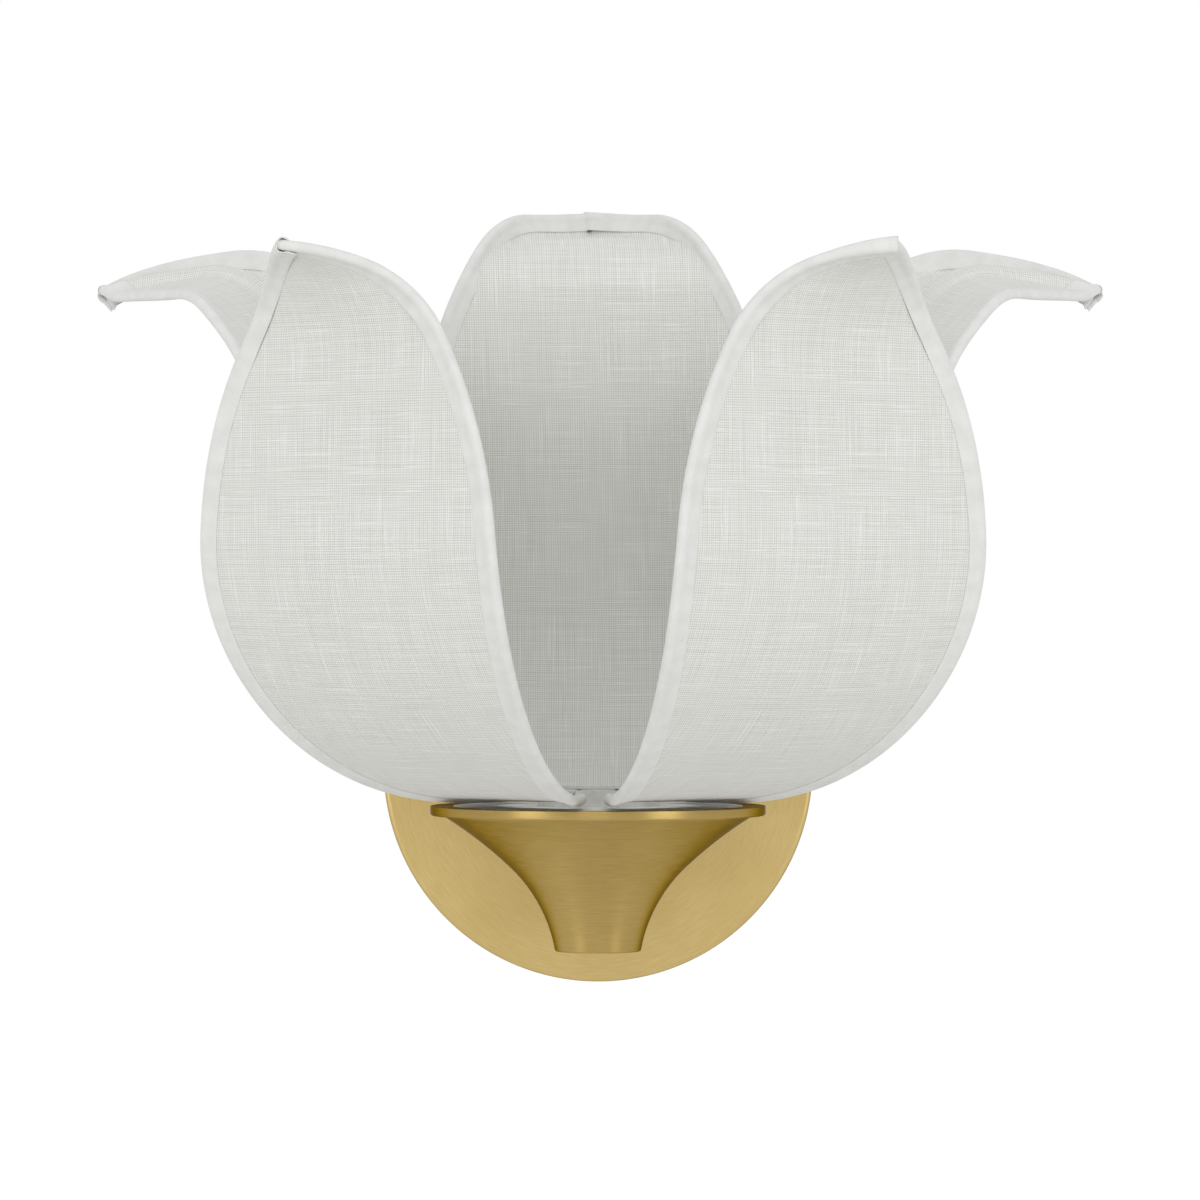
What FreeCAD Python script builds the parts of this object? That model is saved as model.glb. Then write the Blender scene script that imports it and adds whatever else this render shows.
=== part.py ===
import FreeCAD, Part
import Sketcher
import math
import os
import re

# A wall sconce with a flower of five linen petals over a brass trumpet cup.
# Frame: millimetres, +Z up, the wall is the plane Y = 0, the room is on the -Y side.
# The origin is the centre of the backplate, on the wall.

Vector = FreeCAD.Vector
doc = FreeCAD.newDocument("FlowerSconce")
sheet = doc.addObject("Spreadsheet::Sheet", "Sizes")

# ---------------------------------------------------------------- driving dimensions

SIZES = [
    # round backplate: a shallow spun pan, open to the wall
    ("plate_diameter", 133.0), ("plate_depth", 18.0), ("plate_wall", 1.2), ("plate_edge_radius", 3.0),
    # crossbar behind it, screwed to the junction box
    ("bar_half_height", 11.0), ("bar_thickness", 1.6), ("bar_tab_depth", 11.4), ("bar_tab_half_height", 6.0),
    ("bar_side_clearance", 0.8), ("bar_slot_centre", 39.7), ("bar_slot_length", 15.0), ("bar_slot_width", 4.8),
    ("ground_offset", 20.0), ("ground_screw_radius", 1.9), ("ground_head_radius", 4.5),
    ("ground_head_height", 2.4), ("ground_screw_standoff", 3.6),
    # two screws through the plate's rim into the crossbar's tabs
    ("side_screw_setback", 8.0), ("side_screw_radius", 1.95), ("side_screw_length", 9.0),
    ("side_head_radius", 3.5), ("side_head_height", 2.0), ("screw_clearance", 0.2), ("thread_clearance", 0.05),
    # arm: a straight brass tube from the plate to the stem under the flower
    ("arm_drop", 42.0), ("arm_diameter", 9.5), ("arm_bore", 7.0), ("arm_tail", 8.0), ("arm_clearance", 0.05),
    ("collar_radius", 10.0), ("collar_length", 6.0), ("collar_nose_radius", 7.0), ("collar_rim", 2.2),
    ("washer_radius", 8.0), ("washer_thickness", 1.0), ("nut_across_flats", 14.0), ("arm_nut_height", 4.0),
    # stem: a turned body that turns the wiring upwards, and the nipple above it
    ("axis_distance", 127.0), ("stem_radius", 9.5), ("stem_height", 15.9), ("stem_socket_depth", 6.0),
    ("nipple_radius", 4.85), ("nipple_bore", 6.5), ("nipple_engagement", 3.7), ("jam_nut_height", 2.0),
    ("nipple_reach", 3.0),
    # trumpet cup, spun from sheet, drawn as two tangent arcs
    ("cup_foot_level", 50.6), ("cup_foot_radius", 12.5), ("cup_wall", 1.2), ("cup_lower_arc", 44.5),
    ("cup_upper_arc", 127.0), ("cup_foot_lean", 10.0), ("cup_throat_lean", 47.0), ("cup_lip_lean", 58.0),
    ("cup_hole_clearance", 0.5),
    ("base_screw_radius", 2.95), ("base_head_radius", 5.0), ("base_screw_length", 6.0),
    # flat rim ring that closes the cup, with the top plate let into it
    ("rim_radius", 48.9), ("rim_height", 2.8), ("rim_bore", 41.0), ("rim_edge_radius", 0.8),
    ("rebate_radius", 42.5), ("top_plate_thickness", 1.2), ("top_plate_clearance", 0.2),
    ("top_plate_bore_clearance", 0.6),
    # ring that holds the ends of the petal wires, and its screws
    ("ring_outer_radius", 17.5), ("ring_inner_radius", 13.2), ("ring_height", 4.8), ("ring_wire_level", 3.4),
    ("wire_hole_clearance", 0.1), ("ring_screw_circle", 15.4), ("ring_screw_radius", 1.4),
    ("ring_screw_head_radius", 2.75), ("ring_screw_head_height", 1.8), ("ring_screw_depth", 3.2),
    # candelabra lampholder
    ("holder_radius", 12.0), ("holder_base_depth", 3.3), ("holder_floor", 6.2), ("holder_cavity_depth", 17.5),
    ("holder_cavity_radius", 6.8), ("shell_bore_radius", 6.1), ("shell_wall", 0.6), ("shell_setback", 1.0),
    ("shell_length", 12.6), ("contact_radius", 3.5), ("contact_thickness", 1.0), ("contact_lift", 2.5),
    ("contact_stem_radius", 1.5), ("contact_stem_clearance", 0.2), ("contact_stem_length", 6.5),
    # petals: the middle line of each leaves the ring and is a chain of tangent arcs
    ("foot_length", 20.4), ("heel_length", 75.3), ("belly_length", 43.5), ("neck_length", 54.8),
    ("lip_length", 23.6),
    ("front_tip_length", 17.5), ("front_start_angle", -5.3), ("front_foot_turn", 6.4),
    ("front_heel_turn", 55.7), ("front_belly_turn", 33.9), ("front_neck_turn", 1.8),
    ("front_lip_turn", -65.4), ("front_tip_turn", -22.9),
    ("side_tip_length", 33.8), ("side_start_angle", 1.0), ("side_foot_turn", 8.8),
    ("side_heel_turn", 73.1), ("side_belly_turn", 17.1), ("side_neck_turn", -51.3),
    ("side_lip_turn", -54.8), ("side_tip_turn", -17.7),
    ("back_tip_length", 20.1), ("back_start_angle", 0.0), ("back_foot_turn", 22.1),
    ("back_heel_turn", 65.5), ("back_belly_turn", 15.3), ("back_neck_turn", -17.7),
    ("back_lip_turn", -84.0), ("back_tip_turn", 6.0),
    ("front_left_azimuth", 39.0), ("front_right_azimuth", 36.0), ("side_left_azimuth", 104.5),
    ("side_right_azimuth", 103.0), ("back_azimuth", 180.0),
    # outline of a petal laid flat: half-width grows as a power of the length, and closes to a point
    ("root_half_width", 7.0), ("spread", 91.0), ("spread_power", 0.66), ("closing_power", 3.0),
    # hollow across the petal, and the slow twist of the side petals' tips
    ("hollow", 2.4), ("hollow_half_width", 50.0), ("slow_twist", 13.3), ("tip_twist", 6.9),
    # the cloth cuts the corner where the wires bend over at the lip, and sags below them
    ("lip_sag", 5.0), ("lip_sag_power", 3.0),
    # a petal's wire, linen and folded binding tape
    ("wire_radius", 1.0), ("wire_inset", 1.5), ("wire_end_length", 4.6), ("linen_thickness", 0.7),
    ("linen_inset", 3.2), ("linen_start", 10.0), ("linen_tip_setback", 4.6), ("tape_width", 6.4),
    ("tape_thickness", 0.4), ("tape_start", 5.0), ("tape_clearance", 0.4), ("wire_bend", 1.4),
]

for row, (alias, value) in enumerate(SIZES, start=1):
    sheet.set("A%d" % row, alias)
    sheet.set("B%d" % row, str(value))
    sheet.setAlias("B%d" % row, alias)
doc.recompute()

MATHS = ("sin", "cos", "sqrt", "tan")


def bound(expression):
    """The expression with each size's name turned into its cell of the sheet."""
    def cell(word):
        return word.group(0) if word.group(0) in MATHS else "Sizes." + word.group(0)
    return re.sub(r"[a-z][a-z_]{2,}", cell, expression)


known_values = {}


def number(expression):
    """The value of an expression of sizes."""
    if expression not in known_values:
        known_values[expression] = float(sheet.evalExpression(bound(expression)))
    return known_values[expression]


# ---------------------------------------------------------------- levels, as expressions of the sizes

ARM = "(-arm_drop)"
AXIS = "(-axis_distance)"
CUP_FOOT = "(-cup_foot_level)"
CUP_FLOOR = "(cup_wall - cup_foot_level)"
THROAT_RADIUS = "(cup_foot_radius + cup_lower_arc * (cos(cup_foot_lean) - cos(cup_throat_lean)))"
THROAT = "(cup_lower_arc * (sin(cup_throat_lean) - sin(cup_foot_lean)) - cup_foot_level)"
LIP_RADIUS = THROAT_RADIUS[:-1] + " + cup_upper_arc * (cos(cup_throat_lean) - cos(cup_lip_lean)))"
RIM_UNDERSIDE = "(" + THROAT + " + cup_upper_arc * (sin(cup_lip_lean) - sin(cup_throat_lean)))"
RIM_TOP = "(" + RIM_UNDERSIDE + " + rim_height)"
SEAT = "(" + RIM_TOP + " - top_plate_thickness)"
WIRES = "(" + RIM_TOP + " + ring_wire_level)"
STEM_TOP = "(" + CUP_FLOOR + " + stem_height)"
HOLDER_BASE = "(" + STEM_TOP + " + jam_nut_height)"
HOLDER_FLOOR = "(" + HOLDER_BASE + " + holder_base_depth + holder_floor)"
HOLDER_TOP = "(" + HOLDER_FLOOR + " + holder_cavity_depth)"

AXIS_PLACE = ("0", AXIS, "0")


# ---------------------------------------------------------------- small helpers

def place(thing, where, turn=None):
    """Binds a thing's position to expressions, and turns it by (axis, degrees)."""
    if turn:
        thing.Placement = FreeCAD.Placement(Vector(), FreeCAD.Rotation(Vector(*turn[0]), turn[1]))
    for letter, expression in zip("xyz", where):
        thing.setExpression(".Placement.Base." + letter, bound(expression))
    return thing


def revolved(label, plane, outline, where=("0", "0", "0"), arcs=None):
    """A body turned from a closed outline of (radius, height) expressions about the sketch's upright axis.

    plane is XZ_Plane for an axis along Z and XY_Plane for one along Y. arcs maps the number of
    a side to (radius, bulge): bulge is +1 where the arc swells to the left of its run.
    """
    arcs = arcs or {}
    body = doc.addObject("PartDesign::Body", label)
    sketch = body.newObject("Sketcher::SketchObject", label + "_outline")
    origin_plane = [item for item in body.Origin.OriginFeatures if item.Role == plane][0]
    sketch.AttachmentSupport = [(origin_plane, "")]
    sketch.MapMode = "FlatFace"
    points = [Vector(number(x), number(y), 0) for x, y in outline]
    starts = []
    for side, start in enumerate(points):
        end = points[(side + 1) % len(points)]
        if side in arcs:
            radius = number(arcs[side][0])
            run = end - start
            rise = radius - math.sqrt(radius ** 2 - (run.Length / 2) ** 2)
            left = Vector(-run.y, run.x, 0).normalize()
            middle = (start + end) * 0.5 + left * (rise * arcs[side][1])
            sketch.addGeometry(Part.Arc(start, middle, end))
        else:
            sketch.addGeometry(Part.LineSegment(start, end))
        begins_at_start = sketch.getPoint(side, 1).distanceToPoint(start) < 1e-6
        starts.append(1 if begins_at_start else 2)
    for side, begin in enumerate(starts):
        following = (side + 1) % len(points)
        sketch.addConstraint(Sketcher.Constraint("Coincident", side, 3 - begin, following, starts[following]))
    for side, (x, y) in enumerate(outline):
        for kind, expression, value in (("DistanceX", x, points[side].x), ("DistanceY", y, points[side].y)):
            index = sketch.addConstraint(Sketcher.Constraint(kind, -1, 1, side, starts[side], value))
            sketch.setExpression("Constraints[%d]" % index, bound(expression))
    for side, (radius, bulge) in arcs.items():
        index = sketch.addConstraint(Sketcher.Constraint("Radius", side, number(radius)))
        sketch.setExpression("Constraints[%d]" % index, bound(radius))
    turned = body.newObject("PartDesign::Revolution", label + "_turned")
    turned.Profile = sketch
    turned.ReferenceAxis = (sketch, ["V_Axis"])
    turned.Angle = 360
    place(body, where)
    return body


def rounded_edge(side, end, radius, turn):
    """A point of a rounded edge between an end face and a cylinder's side, at degrees round from the end."""
    return ("(%s - %s * (1 - sin(%d)))" % (side, radius, turn), "(%s + %s * (1 - cos(%d)))" % (end, radius, turn))


ALONG_X = ((0, 1, 0), 90)
ALONG_Y = ((1, 0, 0), -90)
TOWARDS_ROOM = ((1, 0, 0), 90)


def cylinder(name, radius, height, where, turn=None):
    """A cylinder that starts at where, along Z unless it is turned."""
    rod = doc.addObject("Part::Cylinder", name)
    rod.setExpression("Radius", bound(radius))
    rod.setExpression("Height", bound(height))
    return place(rod, where, turn)


def box(name, lengths, where):
    """A box with one corner at where."""
    block = doc.addObject("Part::Box", name)
    for side, expression in zip(("Length", "Width", "Height"), lengths):
        block.setExpression(side, bound(expression))
    return place(block, where)


def hexagon(name, height, where, turn=None):
    """A nut's blank, by its width across flats."""
    blank = doc.addObject("Part::Prism", name)
    blank.Polygon = 6
    blank.setExpression("Circumradius", bound("nut_across_flats / sqrt(3)"))
    blank.setExpression("Height", bound(height))
    return place(blank, where, turn)


def cut(label, base, tools):
    """The base without its tools, one boolean for each."""
    for count, tool in enumerate(tools, start=1):
        cutting = doc.addObject("Part::Cut", label if count == len(tools) else label + "_cut")
        cutting.Base = base
        cutting.Tool = tool
        base = cutting
    return base


def joined(label, shapes):
    """Several shapes as one solid."""
    whole = doc.addObject("Part::MultiFuse", label)
    whole.Shapes = shapes
    whole.Refine = True
    return whole


def group(label, shapes):
    """Separate like solids that share one node."""
    together = doc.addObject("Part::Compound", label)
    together.Links = shapes
    return together


nodes = []


def node(thing, label):
    """Names a finished sub-part."""
    thing.Label = label
    nodes.append(thing)
    return thing


# ---------------------------------------------------------------- backplate and what fastens it

PLATE_RADIUS = "(plate_diameter / 2)"
PLATE_INSIDE = "(plate_diameter / 2 - plate_wall)"

pan = revolved(
    "plate_pan", "XY_Plane",
    [("0", "-plate_depth"), (PLATE_RADIUS + " - plate_edge_radius", "-plate_depth"),
     *[rounded_edge(PLATE_RADIUS, "-plate_depth", "plate_edge_radius", turn) for turn in (30, 60)],
     (PLATE_RADIUS, "plate_edge_radius - plate_depth"), (PLATE_RADIUS, "0"), (PLATE_INSIDE, "0"),
     (PLATE_INSIDE, "plate_edge_radius - plate_depth"),
     (PLATE_RADIUS + " - plate_edge_radius", "plate_wall - plate_depth"), ("0", "plate_wall - plate_depth")])
arm_hole = cylinder("plate_arm_hole", "arm_diameter / 2 + arm_clearance", "plate_depth",
                    ("0", "0", ARM), TOWARDS_ROOM)
side_hole = cylinder("plate_side_holes", "side_screw_radius + screw_clearance", "plate_diameter + 2",
                     ("-plate_diameter / 2 - 1", "-side_screw_setback", "0"), ALONG_X)
node(cut("plate", pan, [arm_hole, side_hole]), "backplate")

BAR_REACH = "(sqrt((plate_diameter / 2 - plate_wall - bar_side_clearance) ^ 2 - bar_half_height ^ 2))"
strap = box("strap", ("2 * " + BAR_REACH, "bar_thickness", "2 * bar_half_height"),
            ("-" + BAR_REACH, "-bar_thickness", "-bar_half_height"))
strap_ends = [strap]
for side in (-1, 1):
    near_x = "-" + BAR_REACH if side < 0 else BAR_REACH + " - bar_thickness"
    strap_ends.append(box("tab", ("bar_thickness", "bar_tab_depth", "2 * bar_tab_half_height"),
                          (near_x, "-bar_thickness - bar_tab_depth", "-bar_tab_half_height")))
crossbar = joined("crossbar", strap_ends)
openings = []
for side in ("-", ""):
    middle = side + "bar_slot_centre"
    straight = "(bar_slot_length - bar_slot_width)"
    openings.append(box("slot", (straight, "bar_thickness", "bar_slot_width"),
                        (middle + " - " + straight + " / 2", "-bar_thickness", "-bar_slot_width / 2")))
    for end in (" - ", " + "):
        openings.append(cylinder("slot_end", "bar_slot_width / 2", "bar_thickness",
                                 (middle + end + straight + " / 2", "0", "0"), TOWARDS_ROOM))
openings.append(cylinder("ground_hole", "ground_screw_radius + thread_clearance", "bar_thickness",
                         ("-ground_offset", "0", "0"), TOWARDS_ROOM))
openings.append(cylinder("tab_holes", "side_screw_radius + thread_clearance", "plate_diameter",
                         ("-plate_diameter / 2", "-side_screw_setback", "0"), ALONG_X))
node(cut("bar", crossbar, openings), "mounting_crossbar")

ground_shank = cylinder("ground_shank", "ground_screw_radius", "bar_thickness + ground_screw_standoff",
                        ("-ground_offset", "0", "0"), TOWARDS_ROOM)
ground_head = cylinder("ground_head", "ground_head_radius", "ground_head_height",
                       ("-ground_offset", "-bar_thickness - ground_screw_standoff", "0"), TOWARDS_ROOM)
node(joined("ground", [ground_shank, ground_head]), "ground_screw")

side_screws = []
for side in (-1, 1):
    sign = "-" if side < 0 else ""
    shank_start = "-plate_diameter / 2" if side < 0 else "plate_diameter / 2 - side_screw_length"
    shank = cylinder("side_shank", "side_screw_radius", "side_screw_length",
                     (shank_start, "-side_screw_setback", "0"), ALONG_X)
    head_start = "-plate_diameter / 2 - side_head_height" if side < 0 else "plate_diameter / 2"
    head = cylinder("side_head", "side_head_radius", "side_head_height",
                    (head_start, "-side_screw_setback", "0"), ALONG_X)
    side_screws.append(joined("side_screw", [shank, head]))
node(group("side_screws", side_screws), "backplate_side_screws")

# ---------------------------------------------------------------- arm

STEM_BACK = "(axis_distance - stem_radius + stem_socket_depth)"
ARM_TAIL = "(plate_depth - arm_tail)"
arm_outside = cylinder("arm_outside", "arm_diameter / 2", STEM_BACK + " - " + ARM_TAIL,
                       ("0", "-" + ARM_TAIL, ARM), TOWARDS_ROOM)
arm_inside = cylinder("arm_inside", "arm_bore / 2", STEM_BACK + " - " + ARM_TAIL,
                      ("0", "-" + ARM_TAIL, ARM), TOWARDS_ROOM)
node(cut("arm", arm_outside, [arm_inside]), "arm_tube")

ARM_FIT = "(arm_diameter / 2 + arm_clearance)"
COLLAR_SHOULDER = "(collar_radius + collar_nose_radius) / 2"
node(revolved(
    "collar", "XY_Plane",
    [(ARM_FIT, "-plate_depth"), ("collar_radius", "-plate_depth"), ("collar_radius", "-plate_depth - collar_rim"),
     (COLLAR_SHOULDER + " + 0.3", "-plate_depth - (collar_rim + collar_length) / 2"),
     ("collar_nose_radius", "-plate_depth - collar_length"), (ARM_FIT, "-plate_depth - collar_length")],
    where=("0", "0", ARM)), "arm_collar")

WASHER_FACE = "(plate_wall - plate_depth)"
washer_disc = cylinder("washer_disc", "washer_radius", "washer_thickness",
                       ("0", WASHER_FACE + " + washer_thickness", ARM), TOWARDS_ROOM)
washer_hole = cylinder("washer_hole", ARM_FIT, "washer_thickness",
                       ("0", WASHER_FACE + " + washer_thickness", ARM), TOWARDS_ROOM)
node(cut("washer", washer_disc, [washer_hole]), "arm_lock_washer")

NUT_BACK = "(plate_wall - plate_depth + washer_thickness + arm_nut_height)"
arm_nut_blank = hexagon("arm_nut_blank", "arm_nut_height", ("0", NUT_BACK, ARM), TOWARDS_ROOM)
arm_nut_hole = cylinder("arm_nut_hole", ARM_FIT, "arm_nut_height", ("0", NUT_BACK, ARM), TOWARDS_ROOM)
node(cut("arm_nut_cut", arm_nut_blank, [arm_nut_hole]), "arm_nut")

# ---------------------------------------------------------------- stem, nipple and cup

NIPPLE_FIT = "(nipple_radius + thread_clearance)"
stem_bar = cylinder("stem_bar", "stem_radius", "stem_height", ("0", AXIS, CUP_FLOOR))
stem_tools = [
    cylinder("arm_socket", ARM_FIT, "stem_socket_depth + 2", ("0", "2 - " + STEM_BACK + " + stem_socket_depth", ARM),
             TOWARDS_ROOM),
    cylinder("cross_passage", "arm_bore / 2", "axis_distance - " + STEM_BACK + " + nipple_bore / 2",
             ("0", "-" + STEM_BACK, ARM), TOWARDS_ROOM),
    cylinder("rising_passage", "nipple_bore / 2", STEM_TOP + " - " + ARM, ("0", AXIS, ARM)),
    cylinder("nipple_socket", NIPPLE_FIT, "nipple_engagement + thread_clearance",
             ("0", AXIS, STEM_TOP + " - nipple_engagement - thread_clearance")),
    cylinder("base_screw_hole", "base_screw_radius + thread_clearance", "base_screw_length",
             ("0", AXIS, CUP_FOOT)),
]
node(cut("stem", stem_bar, stem_tools), "stem_body")

NIPPLE_LENGTH = "(nipple_engagement + jam_nut_height + nipple_reach)"
nipple_outside = cylinder("nipple_outside", "nipple_radius", NIPPLE_LENGTH,
                          ("0", AXIS, STEM_TOP + " - nipple_engagement"))
nipple_inside = cylinder("nipple_inside", "nipple_bore / 2", NIPPLE_LENGTH,
                         ("0", AXIS, STEM_TOP + " - nipple_engagement"))
node(cut("nipple", nipple_outside, [nipple_inside]), "threaded_nipple")

jam_blank = hexagon("jam_blank", "jam_nut_height", ("0", AXIS, STEM_TOP))
jam_hole = cylinder("jam_hole", NIPPLE_FIT, "jam_nut_height", ("0", AXIS, STEM_TOP))
node(cut("jam", jam_blank, [jam_hole]), "nipple_jam_nut")



def flare(arc, share, depth):
    """A point of the cup's wall at a share of one of its arcs, and a depth into the sheet."""
    if arc == "lower":
        start, end, origin = "cup_foot_lean", "cup_throat_lean", ("cup_foot_radius", CUP_FOOT)
    else:
        start, end, origin = "cup_throat_lean", "cup_lip_lean", (THROAT_RADIUS, THROAT)
    lean = "(%s + (%s - %s) * %g)" % (start, end, start, share)
    swing = "cup_%s_arc" % arc
    return ("(%s + %s * (cos(%s) - cos(%s)) - %s * cos(%s))" % (origin[0], swing, start, lean, depth, lean),
            "(%s + %s * (sin(%s) - sin(%s)) + %s * sin(%s))" % (origin[1], swing, lean, start, depth, lean))


# Each arc of the wall is run as a few straight cones, close enough together to read as one curve.
FLARE = [("lower", 0.25), ("lower", 0.5), ("lower", 0.75), ("lower", 1), ("upper", 0.33), ("upper", 0.67)]
cup_shell = revolved(
    "cup_spinning", "XZ_Plane",
    [("0", CUP_FOOT), ("cup_foot_radius", CUP_FOOT), *[flare(arc, share, "0") for arc, share in FLARE],
     (LIP_RADIUS, RIM_UNDERSIDE), (LIP_RADIUS + " - cup_wall / cos(cup_lip_lean)", RIM_UNDERSIDE),
     *[flare(arc, share, "cup_wall") for arc, share in reversed(FLARE)],
     ("cup_foot_radius - cup_wall * cos(cup_foot_lean)", CUP_FLOOR), ("0", CUP_FLOOR)],
    where=AXIS_PLACE)
cup_arm_hole = cylinder("cup_arm_hole", "arm_diameter / 2 + cup_hole_clearance", "cup_foot_radius * 2",
                        ("0", AXIS + " + cup_foot_radius * 2", ARM), TOWARDS_ROOM)
countersink = doc.addObject("Part::Cone", "cup_countersink")
countersink.setExpression("Radius1", bound("base_head_radius + thread_clearance"))
countersink.setExpression("Radius2", bound("base_screw_radius + thread_clearance"))
countersink.setExpression("Height", bound("cup_wall"))
place(countersink, ("0", AXIS, CUP_FOOT))
node(cut("cup_cut", cup_shell, [cup_arm_hole, countersink]), "trumpet_cup")

screw_head = doc.addObject("Part::Cone", "base_screw_head")
screw_head.setExpression("Radius1", bound("base_head_radius"))
screw_head.setExpression("Radius2", bound("base_screw_radius"))
screw_head.setExpression("Height", bound("cup_wall"))
place(screw_head, ("0", AXIS, CUP_FOOT))
screw_shank = cylinder("base_screw_shank", "base_screw_radius", "base_screw_length - 0.2", ("0", AXIS, CUP_FOOT))
node(joined("base_screw", [screw_head, screw_shank]), "cup_base_screw")

node(revolved(
    "rim", "XZ_Plane",
    [("rim_bore", RIM_UNDERSIDE), ("rim_radius - rim_edge_radius", RIM_UNDERSIDE),
     rounded_edge("rim_radius", RIM_UNDERSIDE, "rim_edge_radius", 45),
     ("rim_radius", RIM_UNDERSIDE + " + rim_edge_radius"), ("rim_radius", RIM_TOP), ("rebate_radius", RIM_TOP),
     ("rebate_radius", SEAT), ("rim_bore", SEAT)],
    where=AXIS_PLACE), "cup_rim_ring")

# ---------------------------------------------------------------- top plate, petal ring and screws

# The three screws stand in the gaps between the petals' wires: azimuth from the front, to the left.
RING_SCREW_AZIMUTHS = ("(front_left_azimuth - front_right_azimuth) / 2",
                       "(side_left_azimuth + back_azimuth) / 2",
                       "-(side_right_azimuth + back_azimuth) / 2")


def round_the_axis(radius, azimuth, level):
    """A place at a radius from the flower's axis and an azimuth from the front, to the left."""
    return ("-(" + radius + ") * sin(" + azimuth + ")", AXIS + " - (" + radius + ") * cos(" + azimuth + ")", level)


holder_hole = cylinder("holder_hole", "holder_radius + top_plate_bore_clearance", "top_plate_thickness",
                       ("0", AXIS, SEAT))
plate_tools = [holder_hole]
ring_tools = [cylinder("ring_bore", "ring_inner_radius", "ring_height", ("0", AXIS, RIM_TOP))]
ring_screws = []
for azimuth in RING_SCREW_AZIMUTHS:
    where = round_the_axis("ring_screw_circle", azimuth, SEAT)
    plate_tools.append(cylinder("plate_screw_hole", "ring_screw_radius + screw_clearance",
                                "top_plate_thickness", where))
    where = round_the_axis("ring_screw_circle", azimuth, RIM_TOP)
    ring_tools.append(cylinder("ring_screw_hole", "ring_screw_radius + thread_clearance",
                               "ring_screw_depth", where))
    where = round_the_axis("ring_screw_circle", azimuth, SEAT + " - ring_screw_head_height")
    head = cylinder("ring_screw_head", "ring_screw_head_radius", "ring_screw_head_height", where)
    shank = cylinder("ring_screw_shank", "ring_screw_radius",
                     "ring_screw_head_height + top_plate_thickness + ring_screw_depth - 0.2", where)
    ring_screws.append(joined("ring_screw", [head, shank]))

top_disc = cylinder("top_disc", "rebate_radius - top_plate_clearance", "top_plate_thickness",
                    ("0", AXIS, SEAT))
node(cut("top", top_disc, plate_tools), "cup_top_plate")
node(group("ring_screw_set", ring_screws), "petal_ring_screws")

PETALS = [("front_left_petal", "front", 1), ("front_right_petal", "front", -1),
          ("side_left_petal", "side", 1), ("side_right_petal", "side", -1), ("back_petal", "back", 1)]
PETAL_AZIMUTH = {"front_left_petal": "front_left_azimuth", "front_right_petal": "front_right_azimuth",
                 "side_left_petal": "side_left_azimuth", "side_right_petal": "side_right_azimuth",
                 "back_petal": "back_azimuth"}
WIRE_OFFSET = "(root_half_width - wire_inset)"

for name, kind, hand in PETALS:
    azimuth = PETAL_AZIMUTH[name] if hand > 0 else "(-" + PETAL_AZIMUTH[name] + ")"
    for side in ("+", "-"):
        sideways = side + " " + WIRE_OFFSET
        inner = "(ring_inner_radius / 2)"
        where = ("-" + inner + " * sin(" + azimuth + ") " + sideways + " * cos(" + azimuth + ")",
                 AXIS + " - " + inner + " * cos(" + azimuth + ") "
                 + ("-" if side == "+" else "+") + " " + WIRE_OFFSET + " * sin(" + azimuth + ")",
                 WIRES)
        hole = cylinder("wire_hole", "wire_radius + wire_hole_clearance", "ring_outer_radius", where)
        outward = Vector(-math.sin(math.radians(number(azimuth))), -math.cos(math.radians(number(azimuth))), 0)
        hole.Placement = FreeCAD.Placement(hole.Placement.Base, FreeCAD.Rotation(Vector(0, 0, 1), outward))
        ring_tools.append(hole)

ring_disc = cylinder("ring_disc", "ring_outer_radius", "ring_height", ("0", AXIS, RIM_TOP))
node(cut("ring", ring_disc, ring_tools), "petal_ring")

# ---------------------------------------------------------------- lampholder

holder_block = cylinder("holder_block", "holder_radius",
                        "holder_base_depth + holder_floor + holder_cavity_depth", ("0", AXIS, HOLDER_BASE))
holder_tools = [
    cylinder("holder_thread", NIPPLE_FIT, "holder_base_depth", ("0", AXIS, HOLDER_BASE)),
    cylinder("contact_bore", "contact_stem_radius + contact_stem_clearance", "holder_floor",
             ("0", AXIS, HOLDER_FLOOR + " - holder_floor")),
    cylinder("holder_cavity", "holder_cavity_radius", "holder_cavity_depth", ("0", AXIS, HOLDER_FLOOR)),
]
node(cut("holder", holder_block, holder_tools), "lampholder_body")

SHELL_BASE = "(" + HOLDER_TOP + " - shell_setback - shell_length)"
shell_outside = cylinder("shell_outside", "shell_bore_radius + shell_wall", "shell_length",
                         ("0", AXIS, SHELL_BASE))
shell_inside = cylinder("shell_inside", "shell_bore_radius", "shell_length", ("0", AXIS, SHELL_BASE))
node(cut("shell", shell_outside, [shell_inside]), "lampholder_screw_shell")

contact_button = cylinder("contact_button", "contact_radius", "contact_thickness",
                          ("0", AXIS, HOLDER_FLOOR + " + contact_lift"))
contact_stem = cylinder("contact_stem", "contact_stem_radius", "contact_stem_length",
                        ("0", AXIS, HOLDER_FLOOR + " + contact_lift - contact_stem_length"))
node(joined("contact", [contact_button, contact_stem]), "lampholder_centre_contact")

# ---------------------------------------------------------------- petals

ARC_NAMES = ("foot", "heel", "belly", "neck", "lip", "tip")
STATION_LENGTH, STATION_TURN = 44.0, 19.0


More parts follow.
